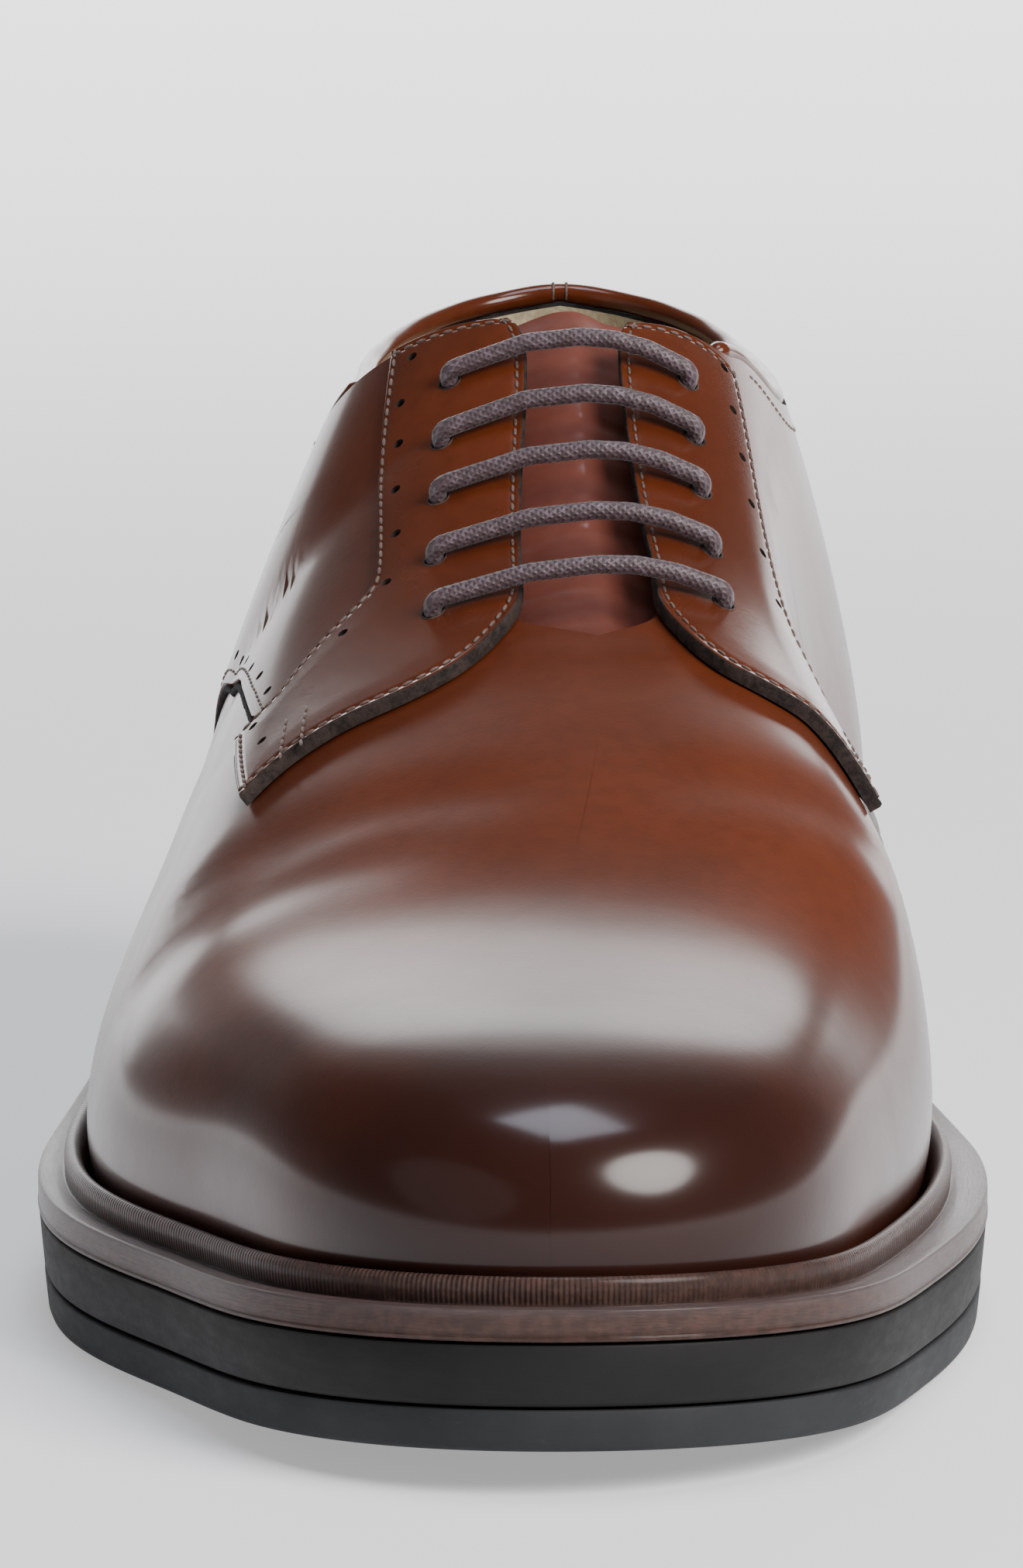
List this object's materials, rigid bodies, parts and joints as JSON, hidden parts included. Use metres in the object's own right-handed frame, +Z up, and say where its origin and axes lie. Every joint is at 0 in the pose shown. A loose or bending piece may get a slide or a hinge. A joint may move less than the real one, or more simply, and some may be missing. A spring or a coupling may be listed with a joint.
{
  "type": "plain toe derby shoe",
  "caption": "Right derby shoe with a plain toe, open-laced facings over a tongue, a hollow leather upper, a storm welt with a raised bead and a layered rubber sole with a low heel.",
  "frame": {"origin": "centre of the footprint on the floor", "axes": "+Z up, toe towards -Y, heel towards +Y, outer side of the foot towards -X"},
  "size_m": [0.113, 0.304, 0.1079],
  "materials": {
    "upper_leather": "polished brown calf, dark burnished toe",
    "facing_leather_lateral": "polished brown calf with a raw cut edge",
    "facing_leather_medial": "polished brown calf with a raw cut edge",
    "tongue_leather": "soft brown leather",
    "binding_leather": "rolled brown leather",
    "lace_cord": "waxed round braid",
    "insole_leather": "plain tan leather",
    "welt_leather": "dark brown, worn gloss",
    "midsole_rubber": "matte black",
    "outsole_rubber": "matte dark grey",
    "heel_rubber": "matte black",
    "top_lift_rubber": "matte dark grey"
  },
  "bodies": {
    "root": {"upper": "upper_leather", "facing_lateral": "facing_leather_lateral", "facing_medial": "facing_leather_medial", "tongue": "tongue_leather", "collar_binding": "binding_leather", "laces": "lace_cord", "insole": "insole_leather", "welt": "welt_leather", "midsole": "midsole_rubber", "outsole": "outsole_rubber", "heel_block": "heel_rubber", "top_lift": "top_lift_rubber"}
  },
  "joints": []
}
